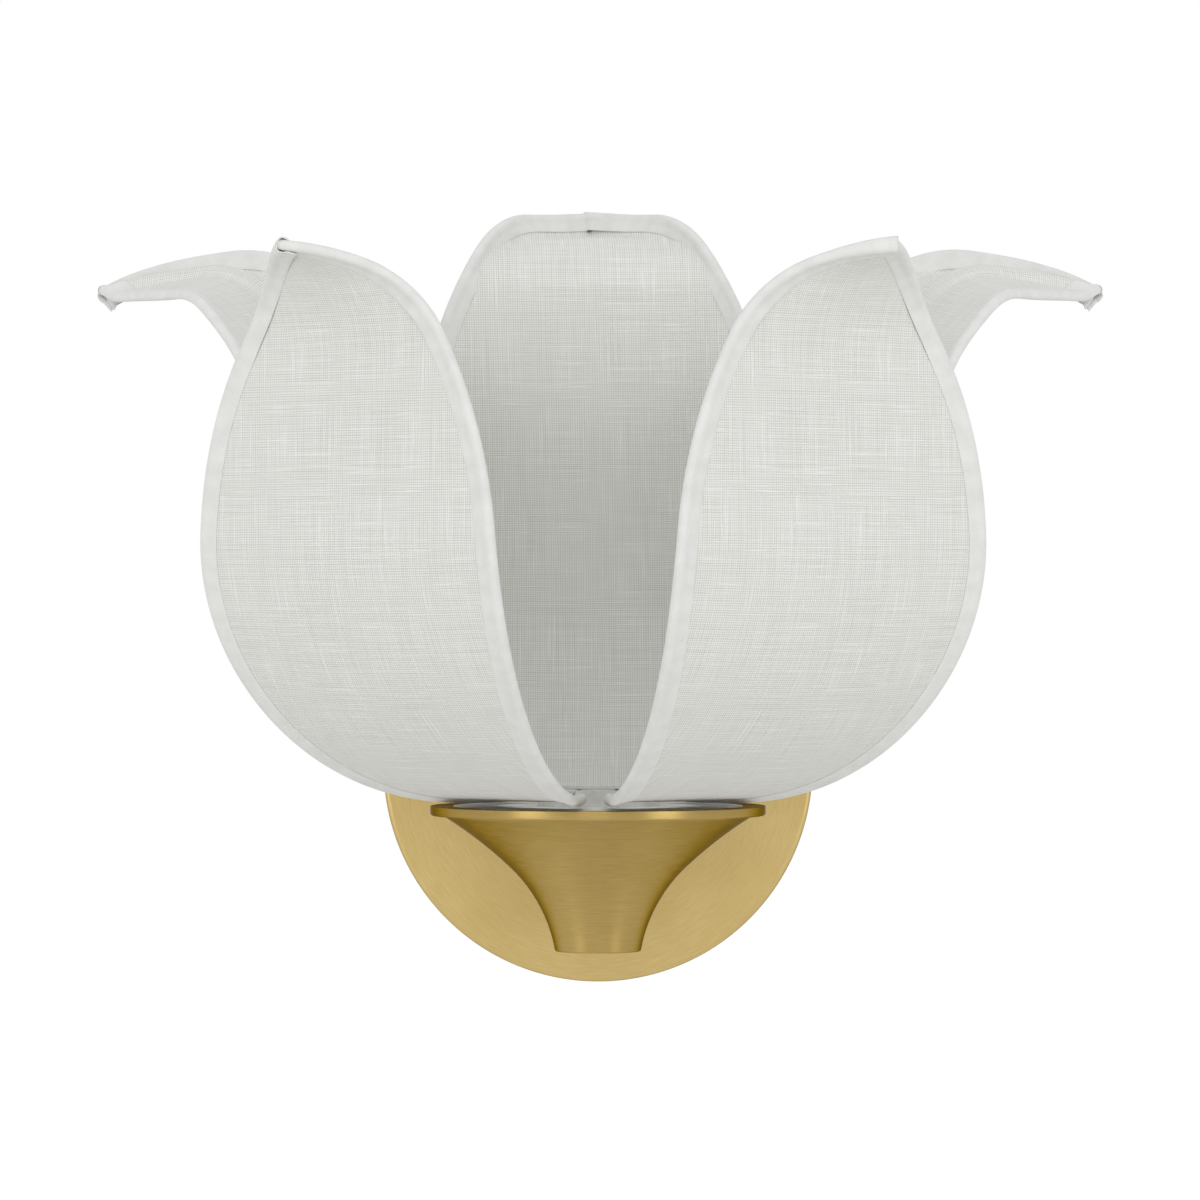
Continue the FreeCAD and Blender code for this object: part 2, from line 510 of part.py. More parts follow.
class Petal:
    """One petal as a bent and hollowed sheet.

    A point of the flat petal is (along, across): the distance from the ring along the middle line
    and the distance to the side, in millimetres. point() gives it in space, lifted off the sheet.
    """

    def __init__(self, name, kind, hand):
        self.azimuth = math.radians(number(PETAL_AZIMUTH[name]))
        self.hand = hand
        self.twisted = kind == "side"
        self.lengths = [number((kind + "_tip_length") if arc == "tip" else arc + "_length") for arc in ARC_NAMES]
        self.turns = [math.radians(number(kind + "_" + arc + "_turn")) for arc in ARC_NAMES]
        self.start_angle = math.radians(number(kind + "_start_angle"))
        self.length = sum(self.lengths)
        self.root = (number("ring_outer_radius"), number(WIRES))

    def middle(self, along):
        """Radius, height and slope of the middle line, arc by arc. Before the ring it runs level."""
        radius, height = self.root
        if along <= 0:
            return radius + along, height, 0.0
        angle = self.start_angle
        for length, turn in zip(self.lengths, self.turns):
            step = min(along, length)
            bend = turn * step / length
            chord = step if abs(bend) < 1e-9 else step * math.sin(bend / 2) / (bend / 2)
            radius += chord * math.cos(angle + bend / 2)
            height += chord * math.sin(angle + bend / 2)
            angle += bend
            along -= step
            if along <= 0:
                break
        return radius, height, angle

    def half_width(self, along):
        """Half the petal's width at a distance along the middle line."""
        share = min(max(along / self.length, 0.0), 1.0)
        swell = number("spread") * share ** number("spread_power") * (1 - share ** number("closing_power"))
        return number("root_half_width") * (1 - share) + swell

    def growth(self, along):
        """How fast the half-width grows along the middle line."""
        step = 0.1
        along = min(along, self.length - step / 2)
        return (self.half_width(along + step / 2) - self.half_width(along - step / 2)) / step

    def edge(self, along, inset):
        """A point at a distance in from the edge, square to it, beside the given point of the edge."""
        growth = self.growth(along)
        size = math.hypot(1, growth)
        return along + inset * growth / size, self.half_width(along) - inset / size

    def sag(self, along, across):
        """How far the cloth lies below the wires: most at the middle of the lip, nothing at the edge."""
        lip = sum(self.lengths[:4]) + self.lengths[4] / 2
        reach = self.length - lip
        away = min(abs(along - lip) / reach, 1.0)
        aside = min(abs(across) / max(self.half_width(along), number("tape_width")), 1.0)
        return (number("lip_sag") * math.cos(math.pi / 2 * away) ** 2
                * (1 - aside ** number("lip_sag_power")))

    def surface(self, along, across, lift=0.0):
        """A point of the flat petal in space, lifted square to the middle line."""
        radius, height, angle = self.middle(along)
        share = min(max(along / self.length, 0.0), 1.0)
        hollow = number("hollow") * math.sin(4 / 3 * math.pi * share)
        rise = hollow * (across / number("hollow_half_width")) ** 2 - self.sag(along, across) + lift
        spread = across
        if self.twisted:
            twist = math.radians(number("slow_twist") * share ** 2 + number("tip_twist") * share ** 6)
            rise += across * math.sin(twist)
            spread = across * math.cos(twist)
        radius -= rise * math.sin(angle)
        height += rise * math.cos(angle)
        sine, cosine = math.sin(self.azimuth), math.cos(self.azimuth)
        return Vector(self.hand * (-radius * sine - spread * cosine),
                      number(AXIS) - radius * cosine + spread * sine, height)

    def point(self, along, across, lift=0.0):
        """A point of the flat petal in space, lifted square to the sheet there, towards the inside."""
        spot = self.surface(along, across)
        if lift == 0:
            return spot
        step = 0.05
        forwards = self.surface(along + step, across) - self.surface(along - step, across)
        sideways = self.surface(along, across + step) - self.surface(along, across - step)
        return spot + (sideways.cross(forwards) * self.hand).normalize() * lift

    def stations(self, start, end):
        """Distances from start to end, closer together where the petal or its outline bends more."""
        def effort(along):
            outline_turn = math.atan(self.growth(start)) - math.atan(self.growth(along))
            total = along / STATION_LENGTH + math.degrees(outline_turn) / STATION_TURN
            for length, turn in zip(self.lengths, self.turns):
                total += math.degrees(abs(turn)) / STATION_TURN * min(max(along / length, 0.0), 1.0)
                along -= length
            return total

        first, last = effort(start), effort(end)
        count = math.ceil(last - first)
        places = [start]
        for step in range(1, count):
            wanted = first + (last - first) * step / count
            low, high = start, end
            while high - low > 1e-4:
                halfway = (low + high) / 2
                low, high = (halfway, high) if effort(halfway) < wanted else (low, halfway)
            places.append(low)
        return places + [end]


def loft(sections):
    """A solid through closed sections of as many corners each.

    The side between two corners of one section and the same two of the next is halved along
    its diagonal into flat facets, so that a bent and twisted sheet stays light. The first and
    the last section are flat and close the ends.
    """
    faces = [polygon_face(sections[0]), polygon_face(sections[-1])]
    for near, far in zip(sections, sections[1:]):
        for corner in range(len(near)):
            following = (corner + 1) % len(near)
            faces.append(polygon_face([near[corner], near[following], far[corner]]))
            faces.append(polygon_face([near[following], far[following], far[corner]]))
    shell = Part.makeShell(faces)
    shell.sewShape()
    solid = Part.makeSolid(shell)
    if solid.Volume < 0:
        solid.reverse()
    return solid


def polygon_face(corners):
    """A flat face through corners in one plane."""
    return Part.Face(Part.makePolygon(corners + [corners[0]]))


def linen_panel(petal):
    """The linen: a thin sheet that ends inside the binding, lofted from section to section across its width."""
    inset, thick = number("linen_inset"), number("linen_thickness") / 2
    shares = (-1, -0.8, -0.45, 0, 0.45, 0.8, 1)
    sections = []
    for along in petal.stations(number("linen_start"), petal.length - number("linen_tip_setback")):
        half = petal.half_width(along) - inset * math.hypot(1, petal.growth(along))
        top = [petal.surface(along, half * share, thick) for share in shares]
        under = [petal.surface(along, half * share, -thick) for share in reversed(shares)]
        sections.append(top + under)
    return loft(sections)


def edge_section(petal, along, side, outline, flat):
    """Corners of a section square to the petal's edge, given as (depth in from the edge, lift) pairs.

    A section follows the sheet's curve, except where it ends a solid and so has to be flat.
    """
    far, across = petal.edge(along, 0.0)
    if not flat:
        places = [petal.edge(along, deep) + (lift,) for deep, lift in outline]
        return [petal.point(far, side * across, lift) for far, across, lift in places]
    corner = petal.point(far, side * across)
    within, beside = petal.edge(along, number("tape_width") / 2)
    inward = (petal.point(within, side * beside) - corner).normalize()
    upward = (petal.point(far, side * across, 1.0) - corner)
    upward = (upward - inward * upward.dot(inward)).normalize()
    return [corner + inward * deep + upward * lift for deep, lift in outline]


def binding_tapes(petal):
    """Two folded tapes, one down each side over the wire, mitred where they meet at the point."""
    width, thick = number("tape_width"), number("tape_thickness")
    inset = number("wire_inset")
    inside = number("wire_radius + wire_hole_clearance")
    outside = inside + thick
    lap = number("linen_thickness / 2 + tape_clearance")
    slant = math.sqrt(0.5)
    outline = [(width, lap + thick), (inset, outside), (inset - outside * slant, outside * slant),
               (inset - outside, 0.0), (inset - outside * slant, -outside * slant), (inset, -outside),
               (width, -lap - thick), (width, -lap), (inset, -inside), (inset - inside * slant, -inside * slant),
               (inset - inside, 0.0), (inset - inside * slant, inside * slant), (inset, inside), (width, lap)]
    reach = petal.length
    places = petal.stations(number("tape_start"), petal.length)
    tapes = []
    for side in (-1, 1):
        tape = loft([edge_section(petal, along, side, outline, along in (places[0], places[-1]))
                     for along in places])
        half_space = Part.makeBox(2 * reach, reach, 2 * reach, Vector(-reach, 0, -reach))
        sine, cosine = math.sin(petal.azimuth), math.cos(petal.azimuth)
        facing = Vector(-petal.hand * side * cosine, side * sine, 0)
        half_space.Placement = FreeCAD.Placement(Vector(0, number(AXIS), 0),
                                                 FreeCAD.Rotation(Vector(0, 1, 0), facing))
        tapes += tape.common(half_space).Solids
    return Part.makeCompound(tapes)


def frame_wire(petal):
    """The bent wire: out of the ring, round one side to the point, and the same back."""
    radius, inset = number("wire_radius"), number("wire_inset")
    offset = number(WIRE_OFFSET)
    circle = [(radius * math.cos(math.radians(60 * corner)), radius * math.sin(math.radians(60 * corner)))
              for corner in range(6)]
    places = [number("wire_bend")] + petal.stations(number("tape_start"), petal.length)[:-1]
    halves = []
    for side in (-1, 1):
        sections = []
        for along in (-number("wire_end_length"), -radius):
            sections.append([petal.point(along, side * (offset - deep), lift) for deep, lift in circle])
        outline = [(inset + deep, lift) for deep, lift in circle]
        sections += [edge_section(petal, along, side, outline, along == places[-1]) for along in places]
        halves.append(loft(sections))
    return Part.makeCompound(halves)


for name, kind, hand in PETALS:
    petal = Petal(name, kind, hand)
    for piece, shape in (("frame", frame_wire(petal)), ("linen", linen_panel(petal)),
                         ("binding", binding_tapes(petal))):
        feature = doc.addObject("Part::Feature", name + "_" + piece)
        feature.Shape = shape
        node(feature, name + "_" + piece)

# ---------------------------------------------------------------- checks and export

doc.recompute()
for thing in doc.Objects:
    if "Invalid" in thing.State or "Error" in thing.State:
        raise RuntimeError("%s did not build: %s" % (thing.Label, thing.State))
for thing in nodes:
    if thing.Shape.isNull() or not thing.Shape.isValid():
        raise RuntimeError("%s has no valid shape" % thing.Label)
    if not thing.Shape.Solids or min(solid.Volume for solid in thing.Shape.Solids) <= 0:
        raise RuntimeError("%s is not a closed solid" % thing.Label)

os.makedirs("parts", exist_ok=True)
for thing in nodes:
    thing.Shape.exportStep("parts/" + thing.Label + ".step")
print("%d nodes, %d solids" % (len(nodes), sum(len(thing.Shape.Solids) for thing in nodes)))
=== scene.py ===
from math import cos, pi, radians, sin

import bmesh
import bpy
import numpy as np
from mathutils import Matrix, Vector


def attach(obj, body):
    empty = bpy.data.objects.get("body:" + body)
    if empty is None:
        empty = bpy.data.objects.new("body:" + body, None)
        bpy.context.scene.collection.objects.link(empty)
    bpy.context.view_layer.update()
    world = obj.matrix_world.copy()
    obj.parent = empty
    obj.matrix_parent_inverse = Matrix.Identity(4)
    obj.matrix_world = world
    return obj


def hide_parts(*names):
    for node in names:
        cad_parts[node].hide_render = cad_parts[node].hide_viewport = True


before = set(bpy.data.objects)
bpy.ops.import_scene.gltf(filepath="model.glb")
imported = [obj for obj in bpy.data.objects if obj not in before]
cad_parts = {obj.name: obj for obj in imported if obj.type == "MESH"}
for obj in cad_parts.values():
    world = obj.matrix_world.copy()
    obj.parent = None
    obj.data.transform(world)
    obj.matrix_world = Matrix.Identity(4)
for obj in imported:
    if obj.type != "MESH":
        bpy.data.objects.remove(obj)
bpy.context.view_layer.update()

# ------------------------------------------------------------------ backplate
# A shallow pan spun from brass sheet, 133 mm across. Its face is brushed in rings on the lathe
# and lacquered to a satin; the rim is turned over with a small soft edge.

MM = 0.001
PLATE_R, PLATE_DEPTH, PLATE_WALL = 66.5, 18.0, 1.2
PLATE_ROUNDING = [0, 1.6, 0.3, 0.3, 1.0, 0]     # corner by corner, as its outline runs
PLATE_TONES = ("#BFA569", "#C9B075", "#D2BA81")
PLATE_ROUGHNESS = 0.36
BRASS_EDGE = "#8A7E63"
# Scratches to the millimetre across the brushing, and how many follow each other along it: to
# the radian round the plate, to the metre round the cup and down a tube. Patches to the metre.
SCRATCHES_PER_MM = 3.6
PLATE_RUNS, CUP_RUNS, TUBE_RUNS = 10, 150, 120
BRASS_PATCHES = 45.0
SAME_POINT, NO_LENGTH = 1e-7, 1e-8              # in metres
FINE_AROUND, CUP_AROUND = 240, 200              # points round a turned piece


def srgb(text):
    """A hex colour as linear red, green, blue and alpha."""
    values = [int(text[i:i + 2], 16) / 255 for i in (1, 3, 5)]
    linear = (v / 12.92 if v < 0.04045 else ((v + 0.055) / 1.055) ** 2.4 for v in values)
    return tuple(linear) + (1.0,)


def add(tree, kind, inputs=None, stops=None, **settings):
    """One node of a material: its settings, a value or the socket that feeds it for each input,
    and (position, colour) for each stop of a colour ramp."""
    made = tree.nodes.new(kind)
    for name, value in settings.items():
        setattr(made, name, value)
    for name, value in (inputs or {}).items():
        if isinstance(value, bpy.types.NodeSocket):
            tree.links.new(value, made.inputs[name])
        else:
            made.inputs[name].default_value = value
    if stops:
        first, last = made.color_ramp.elements
        first.position, first.color = stops[0]
        last.position, last.color = stops[-1]
        for position, colour in stops[1:-1]:
            made.color_ramp.elements.new(position).color = colour
    return made


def material(name):
    """An empty material with a Principled shader, as (material, its node tree, the shader)."""
    made = bpy.data.materials.new(name)
    made.use_nodes = True
    return made, made.node_tree, made.node_tree.nodes["Principled BSDF"]


def brushed_brass(name, along, roughness, tones):
    """Satin brushed brass: fine scratches drawn out along one direction over a warm yellow metal.

    along is "rings y" or "rings z" for scratches round that axis of the object, or "length y" for
    scratches down a tube. They are drawn 0.3 mm wide, coarser than the real 0.05 mm, so that they
    show. tones are its darkest, middle and lightest colour. The metal mirrors less, and browner,
    towards its silhouettes, which is set as the tint of its edges.
    """
    made, tree, shader = material(name)
    place = add(tree, "ShaderNodeTexCoord").outputs["Object"]
    across = SCRATCHES_PER_MM / MM
    if along == "rings y":
        # round the plate: distance from its centre across the scratches, angle along them
        part = add(tree, "ShaderNodeSeparateXYZ", {"Vector": place}).outputs
        flat = add(tree, "ShaderNodeCombineXYZ", {"X": part["X"], "Y": part["Z"]})
        radius = add(tree, "ShaderNodeVectorMath", {0: flat.outputs["Vector"]}, operation="LENGTH")
        angle = add(tree, "ShaderNodeMath", {0: part["X"], 1: part["Z"]}, operation="ARCTAN2")
        polar = {"X": radius.outputs["Value"], "Y": angle.outputs["Value"], "Z": part["Y"]}
        drawn = add(tree, "ShaderNodeCombineXYZ", polar).outputs["Vector"]
        stretch = (across, PLATE_RUNS, across)
    elif along == "rings z":
        drawn, stretch = place, (CUP_RUNS, CUP_RUNS, across)
    else:
        drawn, stretch = place, (across, TUBE_RUNS, across)
    vector = add(tree, "ShaderNodeMapping", {"Vector": drawn, "Scale": stretch}).outputs["Vector"]
    scratch = add(tree, "ShaderNodeTexNoise", {"Vector": vector, "Scale": 1.0, "Detail": 3.0,
                                               "Roughness": 0.6}).outputs["Fac"]
    cloud = add(tree, "ShaderNodeTexNoise", {"Vector": place, "Scale": BRASS_PATCHES,
                                             "Detail": 2.0}).outputs["Fac"]
    tone = add(tree, "ShaderNodeMath", {0: cloud, 1: 0.5, 2: scratch}, operation="MULTIPLY_ADD")
    colour = add(tree, "ShaderNodeValToRGB", {"Fac": tone.outputs["Value"]},
                 [(0.45, srgb(tones[0])), (0.75, srgb(tones[1])), (1.0, srgb(tones[2]))])
    tree.links.new(colour.outputs["Color"], shader.inputs["Base Color"])
    gloss = add(tree, "ShaderNodeMapRange", {"Value": scratch, "From Min": 0.3, "From Max": 0.7,
                                             "To Min": roughness - 0.04,
                                             "To Max": roughness + 0.05})
    tree.links.new(gloss.outputs["Result"], shader.inputs["Roughness"])
    bump = add(tree, "ShaderNodeBump", {"Height": scratch, "Strength": 0.06,
                                        "Distance": 0.03 * MM})
    tree.links.new(bump.outputs["Normal"], shader.inputs["Normal"])
    shader.inputs["Metallic"].default_value = 1.0
    shader.inputs["Specular Tint"].default_value = srgb(BRASS_EDGE)
    return made


def mesh_object(name, points, faces, uv=None):
    """A smooth mesh piece from an array of points, a list of faces and a uv for each point."""
    data = bpy.data.meshes.new(name)
    data.from_pydata(np.asarray(points).tolist(), [], faces)
    data.polygons.foreach_set("use_smooth", np.ones(len(data.polygons), dtype=bool))
    if uv is not None:
        corner_points = np.empty(len(data.loops), dtype=np.int64)
        data.loops.foreach_get("vertex_index", corner_points)
        layer = data.uv_layers.new(name="flat")
        layer.data.foreach_set("uv", np.asarray(uv)[corner_points].ravel())
    data.update()
    made = bpy.data.objects.new(name, data)
    bpy.context.scene.collection.objects.link(made)
    return made


def outwards(piece):
    """Merges doubled points, as at a pole, and turns the faces outwards."""
    work = bmesh.new()
    work.from_mesh(piece.data)
    bmesh.ops.remove_doubles(work, verts=work.verts, dist=SAME_POINT)
    bmesh.ops.dissolve_degenerate(work, edges=work.edges, dist=NO_LENGTH)
    bmesh.ops.recalc_face_normals(work, faces=work.faces)
    work.to_mesh(piece.data)
    work.free()


def grid_faces(rows, columns, wrap_rows=False, wrap_columns=False):
    """Quads over a grid of points numbered row by row, closed round on itself where it wraps."""
    i = np.arange(rows if wrap_rows else rows - 1)[:, None]
    j = np.arange(columns if wrap_columns else columns - 1)[None, :]
    i2, j2 = (i + 1) % rows, (j + 1) % columns
    corners = [i * columns + j, i * columns + j2, i2 * columns + j2, i2 * columns + j]
    return np.stack(corners, axis=-1).reshape(-1, 4)


def rounded(corners, radius, steps=6):
    """The closed outline through corners, in mm. Each corner with a radius becomes a quadratic
    curve that starts and ends that far from it."""
    corners = np.asarray(corners, dtype=float)
    out = []
    for k in range(len(corners)):
        before, here, after = corners[k - 1], corners[k], corners[(k + 1) % len(corners)]
        r = radius[k]
        if r <= 0:
            out.append(here[None])
            continue
        back, ahead = before - here, after - here
        back, ahead = back / np.linalg.norm(back), ahead / np.linalg.norm(ahead)
        t = np.linspace(0, 1, steps)[:, None]
        start, end = here + back * r, here + ahead * r
        out.append((1 - t) ** 2 * start + 2 * t * (1 - t) * here + t ** 2 * end)
    return np.concatenate(out)


def turned(name, outline, centre, upright, around):
    """A surface of revolution: the closed outline (radius, height) in mm, swept about upright.

    The point at angle a is (radius sin a, radius cos a) across the axis and height along it.
    """
    radius, height = np.asarray(outline).T * MM
    a = np.linspace(0, 2 * pi, around, endpoint=False)[:, None]
    right, ahead, up = radius * np.sin(a), radius * np.cos(a), height + 0 * a
    points = np.stack((right, ahead, up) if upright == "z" else (right, up, ahead), axis=-1)
    faces = grid_faces(around, len(radius), wrap_rows=True, wrap_columns=True)
    made = mesh_object(name, points.reshape(-1, 3) + np.asarray(centre), faces.tolist())
    outwards(made)
    return made


def finish_piece(piece, body, slot, finish, *replaced):
    """What each made piece needs: its body, its material, the nodes it stands for. Its slot is not
    used.
    """
    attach(piece, body)
    piece.data.materials.append(finish)
    if replaced:
        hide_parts(*replaced)
    return piece


plate_brass = brushed_brass("brushed brass plate", "rings y", PLATE_ROUGHNESS, PLATE_TONES)
plate_outline = rounded(
    [(0, -PLATE_DEPTH), (PLATE_R, -PLATE_DEPTH), (PLATE_R, 0), (PLATE_R - PLATE_WALL, 0),
     (PLATE_R - PLATE_WALL, -PLATE_DEPTH + PLATE_WALL), (0, -PLATE_DEPTH + PLATE_WALL)],
    PLATE_ROUNDING)
backplate = turned("backplate_pan", plate_outline, (0, 0, 0), "y", FINE_AROUND)
finish_piece(backplate, "root", "brushed_brass", plate_brass, "backplate")

# ------------------------------------------------------------------ trumpet cup
# Spun from brass sheet over a form, in a concave flare of two arcs from a flat foot, and brushed
# round its axis. The scratches spread its highlights up and down, into upright bands.

AXIS_Y = -127.0 * MM                            # the cup's and the flower's upright axis
CUP_FOOT, CUP_FOOT_R, CUP_WALL = -50.6, 12.5, 1.2
FOOT_FLAT_R, FOOT_ROUNDING, FOOT_JOIN = 9.5, 0.5, 3     # the flare's point where the foot ends
LOWER_ARC, UPPER_ARC = 44.5, 127.0
FOOT_LEAN, THROAT_LEAN, LIP_LEAN = radians(10), radians(47), radians(58)
# a darker, shaded copy of the plate's brass: painted shade for the cup's flare, which faces down
# and catches less light; the rim ring and the arm tube take these tones too
SHADED_BRASS_TONES = ("#A68C52", "#AF965B", "#B99F66")
CUP_ROUGHNESS, BAND_SPREAD, BAND_TURN = 0.40, 0.8, 0.25


def cup_side(offset, steps=28):
    """The flare as (radius, height), set in by offset: two tangent arcs of growing lean."""
    lean = np.linspace(FOOT_LEAN, THROAT_LEAN, steps)
    lower = np.stack([CUP_FOOT_R + LOWER_ARC * (cos(FOOT_LEAN) - np.cos(lean)),
                      CUP_FOOT + LOWER_ARC * (np.sin(lean) - sin(FOOT_LEAN))], axis=-1)
    upper_lean = np.linspace(THROAT_LEAN, LIP_LEAN, steps)[1:]
    upper = lower[-1] + UPPER_ARC * np.stack([cos(THROAT_LEAN) - np.cos(upper_lean),
                                              np.sin(upper_lean) - sin(THROAT_LEAN)], axis=-1)
    lean = np.concatenate([lean, upper_lean])
    inwards = np.stack([-np.cos(lean), np.sin(lean)], axis=-1)
    return np.concatenate([lower, upper]) + offset * inwards


flare = cup_side(0.0)
RIM_UNDER = flare[-1, 1]
CUP_FLOOR = CUP_FOOT + CUP_WALL
inner_flare = cup_side(CUP_WALL)
inner_flare = inner_flare[(inner_flare[:, 1] > CUP_FLOOR) & (inner_flare[:, 1] < RIM_UNDER)]
foot_edge = rounded([(FOOT_FLAT_R, CUP_FOOT), (CUP_FOOT_R, CUP_FOOT), tuple(flare[FOOT_JOIN])],
                    [0, FOOT_ROUNDING, 0])[:-1]
cup_outline = np.concatenate([[(0, CUP_FOOT)], foot_edge, flare[FOOT_JOIN:], inner_flare[::-1],
                              [(0, CUP_FLOOR)]])
shaded_brass = brushed_brass("brushed brass spinning", "rings z", CUP_ROUGHNESS, SHADED_BRASS_TONES)
cup_shader = shaded_brass.node_tree.nodes["Principled BSDF"]
cup_shader.inputs["Anisotropic"].default_value = BAND_SPREAD
cup_shader.inputs["Anisotropic Rotation"].default_value = BAND_TURN
cup = turned("cup_spinning", cup_outline, (0, AXIS_Y, 0), "z", CUP_AROUND)
finish_piece(cup, "root", "brushed_brass", shaded_brass, "trumpet_cup")

# ------------------------------------------------------------------ rim ring
# A flat brass ring that closes the cup, brushed with it. Its lower edge is softened, and its
# bore has a rebate that the white top plate lies in.

RIM_R, RIM_BORE, REBATE_R, RIM_HEIGHT, REBATE = 48.9, 41.0, 42.5, 2.8, 1.2
RIM_ROUNDING = [0.1, 0.8, 0.25, 0.1, 0.05, 0.1]
RIM_TOP = RIM_UNDER + RIM_HEIGHT
rim_outline = rounded(
    [(RIM_BORE, RIM_UNDER), (RIM_R, RIM_UNDER), (RIM_R, RIM_TOP), (REBATE_R, RIM_TOP),
     (REBATE_R, RIM_TOP - REBATE), (RIM_BORE, RIM_TOP - REBATE)], RIM_ROUNDING)
rim = turned("rim_ring", rim_outline, (0, AXIS_Y, 0), "z", FINE_AROUND)
# the rim ring takes the cup's shaded copy of the brass: painted shade
finish_piece(rim, "root", "brushed_brass", shaded_brass, "cup_rim_ring")

# ------------------------------------------------------------------ petals: their shape
# Each petal is a wire loop bent to one line and covered with linen. Laid flat it is a leaf 235
# to 251 mm long that widens quickly from the root and closes to a point. Its sizes are in mm.

# the middle line's arcs from the root to the point: lengths, the slope at the root and turns
ARC_LENGTHS = {"front": (20.4, 75.3, 43.5, 54.8, 23.6, 17.5),
               "side": (20.4, 75.3, 43.5, 54.8, 23.6, 33.8),
               "back": (20.4, 75.3, 43.5, 54.8, 23.6, 20.1)}
START_ANGLE = {"front": -5.3, "side": 1.0, "back": 0.0}
ARC_TURNS = {"front": (6.4, 55.7, 33.9, 1.8, -65.4, -22.9),
             "side": (8.8, 73.1, 17.1, -51.3, -54.8, -17.7),
             "back": (22.1, 65.5, 15.3, -17.7, -84.0, 6.0)}
# kind, degrees round from straight out into the room to the left, and -1 for a mirror image
PETALS = {"front_left": ("front", 39.0, 1), "front_right": ("front", 36.0, -1),
          "side_left": ("side", 104.5, 1), "side_right": ("side", 103.0, -1),
          "back": ("back", 180.0, 1)}
ROOT_R, ROOT_HEIGHT = 17.5, RIM_TOP + 3.4       # the root's middle, out from the axis and up
ROOT_HALF, SPREAD, SPREAD_POWER, CLOSING_POWER = 7.0, 91.0, 0.66, 3.0
HOLLOW, HOLLOW_HALF = 2.4, 50.0                 # deepest hollow, at this far from the middle
SLOW_TWIST, TIP_TWIST = radians(13.3), radians(6.9)
# the side petals' droop and lift: how much, and from how far before the point
NEAR_DROOP, DROOP_START, DROOP_RUN, DROOP_EDGE = 2.8, 95.0, 45.0, 5.0
POINT_LIFT, POINT_RUN, BACK_LEAN = 1.7, 32.0, -3.0


def petal_length(kind):
    """The flat petal's length from the root to the point: its arcs added up."""
    return sum(ARC_LENGTHS[kind])


def half_width(kind, along):
    """Half the flat petal's width: the root's, running out, and a power of the distance along
    that closes to a point."""
    share = np.clip(along / petal_length(kind), 0, 1)
    bulge = SPREAD * share ** SPREAD_POWER * (1 - share ** CLOSING_POWER)
    return ROOT_HALF * (1 - share) + bulge


def growth(kind, along):
    """How fast the half-width grows with the distance along, from two points close by."""
    step = 0.05
    along = np.clip(along, step, petal_length(kind) - step)
    return (half_width(kind, along + step) - half_width(kind, along - step)) / (2 * step)


def middle_line(kind, along):
    """Radius, height and slope of the petal's middle line: six tangent arcs end to end.

    An arc's chord is its length times the sinc of half its turn, along the slope at its middle.
    """
    lengths, turns = np.array(ARC_LENGTHS[kind]), np.radians(ARC_TURNS[kind])
    starts = np.concatenate([[0], np.cumsum(lengths)[:-1]])
    angles = radians(START_ANGLE[kind]) + np.concatenate([[0], np.cumsum(turns)[:-1]])
    chord = lengths * np.sinc(turns / 2 / pi)
    outs, ups = chord * np.cos(angles + turns / 2), chord * np.sin(angles + turns / 2)
    radii = ROOT_R + np.concatenate([[0], np.cumsum(outs)[:-1]])
    heights = ROOT_HEIGHT + np.concatenate([[0], np.cumsum(ups)[:-1]])
    k = np.clip(np.searchsorted(starts, along, side="right") - 1, 0, len(lengths) - 1)
    step = along - starts[k]
    bend = turns[k] * step / lengths[k]
    chord = step * np.sinc(bend / 2 / pi)
    return (radii[k] + chord * np.cos(angles[k] + bend / 2),
            heights[k] + chord * np.sin(angles[k] + bend / 2), angles[k] + bend)


def ease(share):
    """0 to 1 with a soft start and end: three times the square less twice the cube."""
    share = np.clip(share, 0, 1)
    return share ** 2 * (3 - 2 * share)


def petal_points(petal, along, across, lift):
    """Points of the flat petal (along, across, in mm) in space, lifted off the sheet, in metres.

    The sheet is bent along its middle line and hollowed as the square of the distance across,
    which dies out three quarters of the way up and turns over at the lip. The side petals are
    turned slowly about that line, with the edge on the room's side drooping and the point
    lifted. The back petal leans to the left at its lip.
    """
    kind, azimuth, hand = PETALS[petal]
    along, across, lift = np.broadcast_arrays(along, across, lift)
    radius, height, slope = middle_line(kind, along)
    share = np.clip(along / petal_length(kind), 0, 1)
    rise = HOLLOW * np.sin(4 / 3 * pi * share) * (across / HOLLOW_HALF) ** 2 + lift
    spread = across
    if kind == "side":
        twist = SLOW_TWIST * share ** 2 + TIP_TWIST * share ** 6
        rise = rise + across * np.sin(twist)
        spread = across * np.cos(twist)
        before = petal_length(kind) - along
        droop = ease((DROOP_START - before) / DROOP_RUN) * ease(-across / DROOP_EDGE)
        rise = rise - NEAR_DROOP * droop + POINT_LIFT * ease(1 - before / POINT_RUN)
    if kind == "back":
        spread = across + BACK_LEAN * share ** 3
    radius = radius - rise * np.sin(slope)
    height = height + rise * np.cos(slope)
    s, c = sin(radians(azimuth)), cos(radians(azimuth))
    return np.stack([hand * (-radius * s - spread * c),
                     AXIS_Y / MM - radius * c + spread * s, height], axis=-1) * MM


# Where the wires bend over at the lip the linen can't follow them: it sags below, and turns the
# tapes down about the wires. A petal's side is 1 or -1: 1 is the outer edge of a front petal and
# the wall's edge of a side petal, the only one that is turned there.
# (where the turn starts and is full, in mm before the point, its degrees on side 1 and side -1)
LIP_TURN = {"front": (48.0, 26.0, 12.0, 12.0), "side": (66.0, 40.0, 55.0, 0.0),
            "back": (52.0, 30.0, 57.0, 57.0)}
LIP_SAG, SAG_REACH = 2.0, 0.6
TAPE_WIDTH = 6.4


def lip_turn(kind, along, side):
    """How far the tape is turned down about the wire, in radians: none below, easing to the lip."""
    start, full, first, second = LIP_TURN[kind]
    share = (along - petal_length(kind) + start) / (start - full)
    return radians(first if side > 0 else second) * ease(share)


